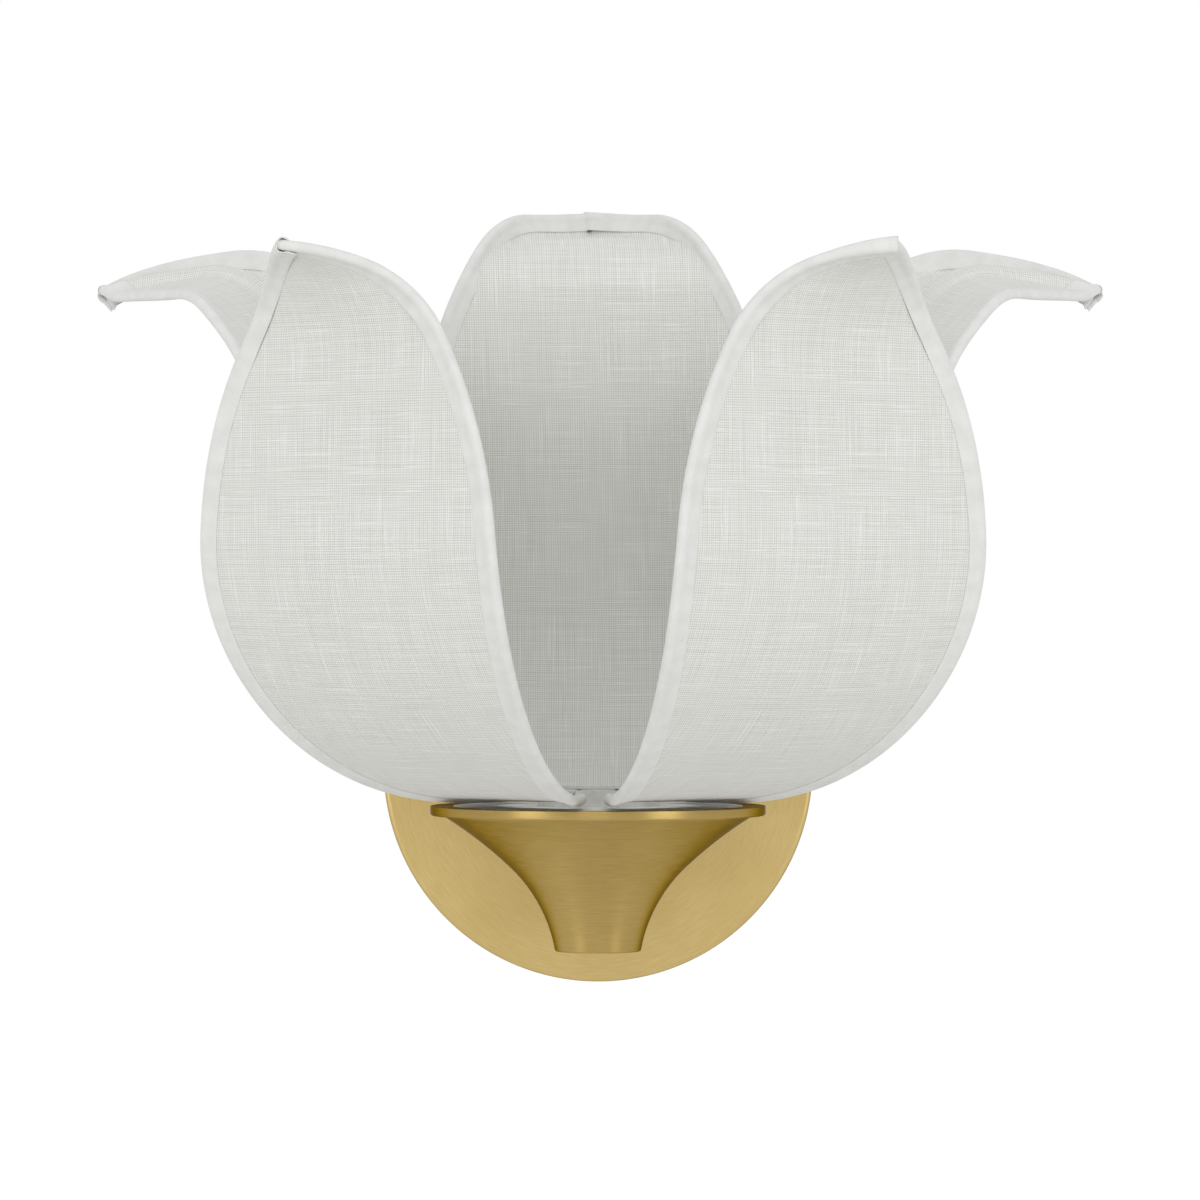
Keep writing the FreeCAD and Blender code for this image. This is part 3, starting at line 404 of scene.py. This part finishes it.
def lip_drop(kind, along, across):
    """How far the sheet lies below the wires: straight down across the tape, then nearing the
    panel's sag as an exponential.

    On a side petal, with one edge turned, the sag eases in from the middle line.
    """
    drop = 0.0
    half = half_width(kind, along)
    size = np.sqrt(1 + growth(kind, along) ** 2)
    for side in (1, -1):
        steep = np.tan(lip_turn(kind, along, side))
        band = TAPE_WIDTH * np.cos(lip_turn(kind, along, side))
        deep = np.maximum((half - side * across) / size, 0)
        beyond = np.maximum(deep - band, 0)
        here = np.minimum(deep, band) * steep + LIP_SAG * (1 - np.exp(-beyond * steep / LIP_SAG))
        if kind == "side":
            drop = drop + here * ease(side * across / np.maximum(SAG_REACH * half, 1))
        else:
            # the middle line itself is counted once, with side 1
            drop = drop + here * (side * across >= (0 if side > 0 else 1e-9))
    return drop


# ------------------------------------------------------------------ petals: linen panels
# Plain-woven off-white linen with slubs both ways, on a thin stiff backing, stretched over
# the wire loop and glued under the binding.

LINEN_HALF_THICK = 0.35
LINEN_INSET, LINEN_START, LINEN_TIP = 2.8, 10.0, 4.6    # from the edge, the root and the point
LINEN_ROWS, LINEN_COLUMNS, EDGE_CROWDING = 170, 65, 0.7
WAVE_PERIOD = 0.31416                           # of a wave texture at a scale of 1
THREAD = 0.7 * MM
STREAK_WIDTH, STREAK_LENGTH = 0.45 * MM, 30.0 * MM
SLUB_UP, SLUB_ACROSS, SLUB_SHARE = 22.0 * MM, 16.0 * MM, 0.6
STREAK_LEVELS, SLUB_LEVELS = (0.25, 0.75), (0.60, 0.74)
LINEN_DARK, LINEN_BASE, LINEN_LIGHT, SLUB = "#C2C2BD", "#D9D9D5", "#EBEBE8", "#F0F0EE"


def linen():
    """Slubby plain-weave linen: threads 0.7 mm apart both ways, drawn coarser than the real
    0.4 mm so that they show, of uneven thickness, with a few long thin slubs that stand a little
    lighter than the ground."""
    made, tree, shader = material("slubby linen")
    flat = add(tree, "ShaderNodeUVMap", uv_map="flat").outputs["UV"]

    def streaks(wide, tall, levels):
        """Noise drawn out to streaks of a size, from 0 at the first level to 1 at the second."""
        drawn = add(tree, "ShaderNodeMapping", {"Vector": flat, "Scale": (1 / wide, 1 / tall, 1)})
        noise = add(tree, "ShaderNodeTexNoise", {"Vector": drawn.outputs["Vector"], "Scale": 1.0,
                                                 "Detail": 1.5})
        return add(tree, "ShaderNodeMapRange",
                   {"Value": noise.outputs["Fac"], "From Min": levels[0],
                    "From Max": levels[1]}).outputs["Result"]

    warp, weft = [add(tree, "ShaderNodeTexWave",
                      {"Vector": flat, "Scale": WAVE_PERIOD / THREAD, "Distortion": 1.0,
                       "Detail": 1.0, "Detail Scale": 0.4}, bands_direction=way).outputs["Fac"]
                  for way in "XY"]
    weave = add(tree, "ShaderNodeMath", {0: warp, 1: weft}, operation="MULTIPLY")
    uneven = add(tree, "ShaderNodeMath",
                 {0: streaks(STREAK_WIDTH, STREAK_LENGTH, STREAK_LEVELS),
                  1: streaks(STREAK_LENGTH, STREAK_WIDTH, STREAK_LEVELS)}, operation="ADD")
    slub = add(tree, "ShaderNodeMath",
               {0: streaks(STREAK_WIDTH, SLUB_UP, SLUB_LEVELS),
                1: streaks(SLUB_ACROSS, STREAK_WIDTH, SLUB_LEVELS)},
               operation="MAXIMUM").outputs["Value"]
    ground = add(tree, "ShaderNodeMath", {0: weave.outputs["Value"], 1: 0.95},
                 operation="MULTIPLY").outputs["Value"]
    tone = add(tree, "ShaderNodeMath", {0: uneven.outputs["Value"], 1: 0.26, 2: ground},
               operation="MULTIPLY_ADD").outputs["Value"]
    colour = add(tree, "ShaderNodeValToRGB", {"Fac": tone},
                 [(0.1, srgb(LINEN_DARK)), (0.5, srgb(LINEN_BASE)), (1.0, srgb(LINEN_LIGHT))])
    share = add(tree, "ShaderNodeMath", {0: slub, 1: SLUB_SHARE}, operation="MULTIPLY")
    # a mix of colours has them at its sockets 6 and 7, and its result at 2
    mixed = add(tree, "ShaderNodeMix",
                {"Factor": share.outputs["Value"], 6: colour.outputs["Color"], 7: srgb(SLUB)},
                data_type="RGBA")
    tree.links.new(mixed.outputs[2], shader.inputs["Base Color"])
    height = add(tree, "ShaderNodeMath", {0: slub, 1: SLUB_SHARE, 2: tone},
                 operation="MULTIPLY_ADD")
    bump = add(tree, "ShaderNodeBump", {"Height": height.outputs["Value"], "Strength": 0.3,
                                        "Distance": 0.12 * MM})
    tree.links.new(bump.outputs["Normal"], shader.inputs["Normal"])
    shader.inputs["Roughness"].default_value = 0.85
    shader.inputs["Sheen Weight"].default_value = 0.1
    return made


def carried(name, points, uv=None):
    """A closed piece: a grid whose rows are its section, place after place, with its ends closed.

    A uv in mm for each point lays its pattern out flat.
    """
    rows, columns = points.shape[:2]
    faces = grid_faces(rows, columns, wrap_columns=True).tolist()
    faces += [list(range(columns)), list(range((rows - 1) * columns, rows * columns))]
    made = mesh_object(name, points.reshape(-1, 3), faces,
                       None if uv is None else uv.reshape(-1, 2) * MM)
    outwards(made)
    return made


def linen_panel(petal):
    """The panel as a closed thin sheet, its cut size and its flat area, in metres.

    A row runs across the petal on the inside face and back on the outside one.
    """
    kind = PETALS[petal][0]
    along = np.linspace(LINEN_START, petal_length(kind) - LINEN_TIP, LINEN_ROWS)[:, None]
    size = np.sqrt(1 + growth(kind, along) ** 2)
    share = np.linspace(-1, 1, LINEN_COLUMNS)
    share = np.sign(share) * np.abs(share) ** EDGE_CROWDING
    shares = np.concatenate([share, share[::-1]])[None, :]
    turn = np.where(shares > 0, lip_turn(kind, along, 1), lip_turn(kind, along, -1))
    across = shares * (half_width(kind, along) - LINEN_INSET * size * np.cos(turn))
    lift = np.repeat([LINEN_HALF_THICK, -LINEN_HALF_THICK], len(share))[None, :]
    points = petal_points(petal, along, across, lift - lip_drop(kind, along, across))
    made = carried(petal + "_linen_panel", points, np.stack([across, along + 0 * shares], axis=-1))
    half, steps = across[:, :len(share)].max(axis=1), np.diff(along[:, 0])
    area = float(((half[1:] + half[:-1]) * steps).sum()) * MM * MM
    return made, (2 * float(half.max()) * MM, float(steps.sum()) * MM), area


linen_cloth = linen()
for petal in PETALS:
    panel, cut, cut_area = linen_panel(petal)
    finish_piece(panel, "root", "linen", linen_cloth, petal + "_petal_linen")

# ------------------------------------------------------------------ petals: binding tapes
# White cotton tape, folded over the wire and pressed flat on both faces, one down each side. At
# the point one of the two is mitred, and the other is cut square and laid over it.

TAPE_THICK, TAPE_START, FOLD_ROUND = 0.4, 5.0, 2.4
WIRE_R, WIRE_INSET = 1.0, 1.5
WIRE_GAP, LINEN_GAP = 0.1, 0.02                 # between the tape and what it is folded over
FOLD_DEPTH = 3.0                                # the fold keeps its shape this far in
TAPE_ROWS, POINT_CROWDING = 200, 0.85
# which side's tape lies over the other, from how far before the point, and how much higher
OVER = {"front_left": 1, "front_right": -1, "side_left": 1, "side_right": 1, "back": 1}
OVER_REACH, OVER_LIFT = 16.0, 0.8
RIB, TAPE_CLOUDS = 0.5 * MM, 160.0
TAPE_DARK, TAPE_LIGHT = "#D4D4D2", "#E3E3E1"


def tape_section():
    """The folded tape's closed outline as (depth in from the edge, lift): a round nose over the
    wire and two legs, which thin out at their edges."""
    nose = WIRE_R + WIRE_GAP + TAPE_THICK
    lap = LINEN_HALF_THICK + LINEN_GAP
    top = lap + TAPE_THICK
    a = np.linspace(pi / 2, 3 * pi / 2, 15)
    outer = np.stack([WIRE_INSET + nose * np.cos(a), nose * np.sin(a)], axis=-1)
    bore = nose - TAPE_THICK
    inner = np.stack([WIRE_INSET + bore * np.cos(a[::-1]), bore * np.sin(a[::-1])], axis=-1)
    # each leg from its edge to the nose, outside, and from the nose to its edge, inside
    leg = np.array([(6.4, lap + 0.06), (6.3, lap + 0.14), (5.4, top - 0.08), (4.6, top + 0.03),
                    (3.8, top + 0.1), (3.1, top + 0.28), (2.4, nose - 0.1)])
    inner_leg = np.array([(2.4, 1.0), (3.1, lap + 0.25), (3.8, lap + 0.05), (5.0, lap),
                          (6.35, lap)])
    return np.concatenate([leg, outer, (leg * [1, -1])[::-1], (inner_leg * [1, -1])[::-1],
                           inner, inner_leg])


def tape(petal, side):
    """One tape and its length in mm: its section carried along the edge, square to it, and turned
    down about the wire at the lip.

    Where the two tapes of a petal meet, the sections fan round the inner corner of the mitre. The
    tape that is laid over the other keeps its width to the end and is lifted by twice its
    thickness.
    """
    kind = PETALS[petal][0]
    length = petal_length(kind)
    along = TAPE_START + (length - TAPE_START) * np.linspace(0, 1, TAPE_ROWS) ** POINT_CROWDING
    slope = growth(kind, along)
    size = np.sqrt(1 + slope ** 2)
    turn = lip_turn(kind, along, side)
    inward = np.stack([slope / size, -1 / size], axis=-1)
    edge = np.stack([along, half_width(kind, along)], axis=-1)
    level = TAPE_WIDTH * np.cos(turn)[:, None] * inward
    span = np.full(TAPE_ROWS, TAPE_WIDTH)
    over = OVER[petal] == side
    if not over:
        inner = edge + level
        fan = inner[:, 1] < 0
        corner = inner[int(np.argmax(fan)) - 1].copy()
        corner[1] = 0.0
        reach = np.where(fan[:, None], corner - edge, level)
        spread = np.linalg.norm(reach, axis=1)
        inward = reach / spread[:, None]
        span = spread / np.cos(turn)
    section = tape_section()
    depth, lift = section[:, 0][None, :], section[:, 1][None, :]
    narrowed = ((span - FOLD_DEPTH) / (TAPE_WIDTH - FOLD_DEPTH))[:, None]
    deep = np.where(depth > FOLD_DEPTH, FOLD_DEPTH + (depth - FOLD_DEPTH) * narrowed, depth)
    if over:
        share = ease((along - length + OVER_REACH) / OVER_REACH)[:, None]
        lift = lift + OVER_LIFT * np.sign(lift) * share
    cosine, sine = np.cos(turn)[:, None], np.sin(turn)[:, None]
    level = deep * cosine + lift * sine
    rise = lift * cosine - deep * sine * (TAPE_WIDTH / span)[:, None]
    flat = edge[:, None, :] + inward[:, None, :] * level[..., None]
    points = petal_points(petal, flat[..., 0], side * flat[..., 1], rise)
    run = np.concatenate([[0], np.cumsum(np.linalg.norm(np.diff(edge, axis=0), axis=1))])
    around = np.concatenate([[0], np.cumsum(np.linalg.norm(np.diff(section, axis=0), axis=1))])
    uv = np.stack(np.broadcast_arrays(around[None, :], run[:, None]), axis=-1)
    name = petal + ("_tape_left" if side > 0 else "_tape_right")
    return carried(name, points, uv), float(run[-1])


def cotton_tape():
    """White cotton tape: a close, smooth weave that only shows as a fine rib, every 0.5 mm, with
    faint soft creases 6 mm apart."""
    made, tree, shader = material("white cotton tape")
    flat = add(tree, "ShaderNodeUVMap", uv_map="flat").outputs["UV"]
    rib = add(tree, "ShaderNodeTexWave",
              {"Vector": flat, "Scale": WAVE_PERIOD / RIB, "Distortion": 0.6},
              bands_direction="Y").outputs["Fac"]
    cloud = add(tree, "ShaderNodeTexNoise", {"Vector": flat, "Scale": TAPE_CLOUDS,
                                             "Detail": 3.0}).outputs["Fac"]
    tone = add(tree, "ShaderNodeMath", {0: rib, 1: 0.2, 2: cloud},
               operation="MULTIPLY_ADD").outputs["Value"]
    colour = add(tree, "ShaderNodeValToRGB", {"Fac": tone},
                 [(0.3, srgb(TAPE_DARK)), (0.9, srgb(TAPE_LIGHT))])
    tree.links.new(colour.outputs["Color"], shader.inputs["Base Color"])
    bump = add(tree, "ShaderNodeBump", {"Height": tone, "Strength": 0.25, "Distance": 0.2 * MM})
    tree.links.new(bump.outputs["Normal"], shader.inputs["Normal"])
    shader.inputs["Roughness"].default_value = 0.8
    shader.inputs["Sheen Weight"].default_value = 0.1
    return made


tape_cloth = cotton_tape()
for petal in PETALS:
    for side in (1, -1):
        strip, strip_length = tape(petal, side)
        finish_piece(strip, "root", "binding_tape", tape_cloth)
        if side > 0:
            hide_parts(petal + "_petal_binding")

# ------------------------------------------------------------------ petals: wires
# A 2 mm steel wire, coated white, runs out of the ring and inside the fold of each tape to the
# point. The coat is a matte powder.

WIRE_IN_RING, WIRE_BEND, WIRE_END = 4.6, 1.4, 1.5
WIRE_ROWS, WIRE_AROUND = 130, 12
METAL_PATCHES = 400.0                           # to the metre: 2.5 mm across


def wire(petal, side):
    """Half a petal's frame: a circle carried from the ring to the edge and along it, turned down
    with the tape."""
    kind = PETALS[petal][0]
    a = np.linspace(0, 2 * pi, WIRE_AROUND, endpoint=False)
    deep, lift = WIRE_R * np.cos(a), WIRE_R * np.sin(a)
    straight = [petal_points(petal, along, side * (ROOT_HALF - WIRE_INSET - deep), lift)
                for along in (-WIRE_IN_RING, -WIRE_R)]
    along = np.linspace(TAPE_START, petal_length(kind) - WIRE_END, WIRE_ROWS)
    along = np.concatenate([[WIRE_BEND], along])
    size = np.sqrt(1 + growth(kind, along) ** 2)
    turn = lip_turn(kind, along, side)[:, None]
    level = (WIRE_INSET + deep) * np.cos(turn) + lift * np.sin(turn)
    rise = lift * np.cos(turn) - (WIRE_INSET + deep) * np.sin(turn)
    far = along[:, None] + level * (growth(kind, along) / size)[:, None]
    across = half_width(kind, along)[:, None] - level / size[:, None]
    points = np.concatenate([np.stack(straight), petal_points(petal, far, side * across, rise)])
    return carried(petal + ("_wire_left" if side > 0 else "_wire_right"), points)


def plain_finish(name, dark, light, roughness, metallic=1.0, specular=0.5):
    """A plain metal, coat or moulding whose tone drifts a little over the surface."""
    made, tree, shader = material(name)
    place = add(tree, "ShaderNodeTexCoord").outputs["Object"]
    cloud = add(tree, "ShaderNodeTexNoise", {"Vector": place, "Scale": METAL_PATCHES,
                                             "Detail": 3.0}).outputs["Fac"]
    colour = add(tree, "ShaderNodeValToRGB", {"Fac": cloud},
                 [(0.3, srgb(dark)), (0.7, srgb(light))])
    tree.links.new(colour.outputs["Color"], shader.inputs["Base Color"])
    bump = add(tree, "ShaderNodeBump", {"Height": cloud, "Strength": 0.1, "Distance": 0.1 * MM})
    tree.links.new(bump.outputs["Normal"], shader.inputs["Normal"])
    shader.inputs["Roughness"].default_value = roughness
    shader.inputs["Metallic"].default_value = metallic
    shader.inputs["Specular IOR Level"].default_value = specular
    return made


# a powder coat is matte and barely mirrors
white_coat = plain_finish("white powder coat", "#DCDCD8", "#E6E6E3", 0.9,
                          metallic=0.0, specular=0.15)
for petal in PETALS:
    finish_piece(wire(petal, 1), "root", "frame_wire", white_coat, petal + "_petal_frame")
    finish_piece(wire(petal, -1), "root", "frame_wire", white_coat)

# ------------------------------------------------------------------ the rest of the hardware
# Pieces whose modelled shape is right and only need their finish: the turned, stamped and
# moulded parts that hold the light to the wall, the cup to the arm and the lamp in its holder.

ARM_ROUGHNESS = 0.32
# Zinc plating is a soft grey mirror, dyed green on the ground screw. Moulded phenolic is a
# smooth, slightly warm white, and the stamped contacts are bright plain brass.
zinc = plain_finish("zinc plated steel", "#A9A9A6", "#BEBEBA", 0.4)
green_screw = plain_finish("green plated screw", "#2F6B3F", "#3C7C4B", 0.45)
phenolic = plain_finish("white moulded phenolic", "#DDDCD6", "#E6E5E0", 0.4, metallic=0.0)
contact_brass = plain_finish("stamped brass", "#B9995A", "#CDAE6C", 0.35)
# the tube takes the cup's darker tones, a shaded copy of the plate's brass: painted shade
arm_brass = brushed_brass("brushed brass tube", "length y", ARM_ROUGHNESS, SHADED_BRASS_TONES)

FINISHES = {
    "backplate_side_screws": arm_brass, "arm_tube": arm_brass, "arm_collar": arm_brass,
    "mounting_crossbar": zinc, "arm_lock_washer": zinc, "arm_nut": zinc, "stem_body": zinc,
    "threaded_nipple": zinc, "nipple_jam_nut": zinc, "cup_base_screw": zinc,
    "petal_ring_screws": zinc, "ground_screw": green_screw, "cup_top_plate": white_coat,
    "petal_ring": white_coat, "lampholder_body": phenolic,
    "lampholder_screw_shell": contact_brass, "lampholder_centre_contact": contact_brass,
}
for name, finish in FINISHES.items():
    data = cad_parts[name].data
    data.materials.clear()
    data.materials.append(finish)

# ------------------------------------------------------------------ studio
# A plain pale floor and a white surround, soft light from both sides, in front and above, and a
# camera level with the flower, straight in front of the wall. Its sizes are in metres.

WHITE = srgb("#FFFFFF")
FLOOR_DROP, FLOOR_SIDE, FLOOR_FRONT, FLOOR_BACK = 0.16, 3, 4, 3
FLOOR_COLOUR, FLOOR_ROUGHNESS = "#F0F0EE", 0.9
# the share of a white glow in the floor as it is seen; the rest keeps the object's shadow
GLOW_SHARE, GLOW = 0.9, 1.06
ROOM_LIGHT, ROOM_SEEN = 0.76, 1.0
# place, height of the point aimed at, width and watts
LAMPS = {"left": ((-2.0, -2.0, 0.5), 0.0, 1.0, 12), "right": ((2.0, -2.0, 0.5), 0.0, 1.0, 13),
         "front": ((0, -3.2, 1.2), 0.05, 2.0, 9), "top": ((0, -0.6, 2.4), 0.05, 2.0, 2)}
VIEW_DISTANCE, VIEW_SIDE, VIEW_HEIGHT = 1.75, 0.0006, 0.0518
LENS, FILM = 180, 36                            # in mm


def background_rays(tree):
    """1 for the rays that show the background: to the camera, off metal or through glass."""
    rays = add(tree, "ShaderNodeLightPath").outputs
    direct = add(tree, "ShaderNodeMath", {0: rays["Is Camera Ray"], 1: rays["Is Glossy Ray"]},
                 operation="MAXIMUM").outputs["Value"]
    return add(tree, "ShaderNodeMath", {0: direct, 1: rays["Is Transmission Ray"]},
               operation="MAXIMUM").outputs["Value"]


floor = mesh_object("floor", [(-FLOOR_SIDE, -FLOOR_FRONT, -FLOOR_DROP),
                              (FLOOR_SIDE, -FLOOR_FRONT, -FLOOR_DROP),
                              (FLOOR_SIDE, FLOOR_BACK, -FLOOR_DROP),
                              (-FLOOR_SIDE, FLOOR_BACK, -FLOOR_DROP)], [(0, 1, 2, 3)])
floor_finish, floor_tree, floor_shader = material("pale floor")
floor_shader.inputs["Base Color"].default_value = srgb(FLOOR_COLOUR)
floor_shader.inputs["Roughness"].default_value = FLOOR_ROUGHNESS
floor_glow = add(floor_tree, "ShaderNodeEmission", {"Color": WHITE, "Strength": GLOW})
floor_share = add(floor_tree, "ShaderNodeMath", {0: background_rays(floor_tree), 1: GLOW_SHARE},
                  operation="MULTIPLY")
floor_mix = add(floor_tree, "ShaderNodeMixShader", {0: floor_share.outputs["Value"],
                                                    1: floor_shader.outputs["BSDF"],
                                                    2: floor_glow.outputs["Emission"]})
floor_tree.links.new(floor_mix.outputs["Shader"],
                     floor_tree.nodes["Material Output"].inputs["Surface"])
floor.data.materials.append(floor_finish)

scene = bpy.context.scene
world = bpy.data.worlds.new("white surround")
scene.world = world
world.use_nodes = True
sky = world.node_tree
background = sky.nodes["Background"]
strength = add(sky, "ShaderNodeMapRange", {"Value": background_rays(sky), "To Min": ROOM_LIGHT,
                                           "To Max": ROOM_SEEN}).outputs["Result"]
background.inputs["Color"].default_value = WHITE
sky.links.new(strength, background.inputs["Strength"])

for name, (place, aim_height, width, watts) in LAMPS.items():
    light = bpy.data.lights.new(name, "AREA")
    light.shape, light.size, light.energy = "SQUARE", width, watts
    lamp = bpy.data.objects.new(name, light)
    scene.collection.objects.link(lamp)
    lamp.location = place
    aim = Vector(np.subtract((0, AXIS_Y, aim_height), place))
    lamp.rotation_euler = aim.to_track_quat("-Z", "Y").to_euler()

camera_data = bpy.data.cameras.new("camera")
camera_data.lens, camera_data.sensor_width = LENS, FILM
camera = bpy.data.objects.new("camera", camera_data)
scene.collection.objects.link(camera)
camera.location = (VIEW_SIDE, AXIS_Y - VIEW_DISTANCE, VIEW_HEIGHT)
camera.rotation_euler = (pi / 2, 0, 0)
scene.camera = camera
scene.view_settings.view_transform = "Standard"
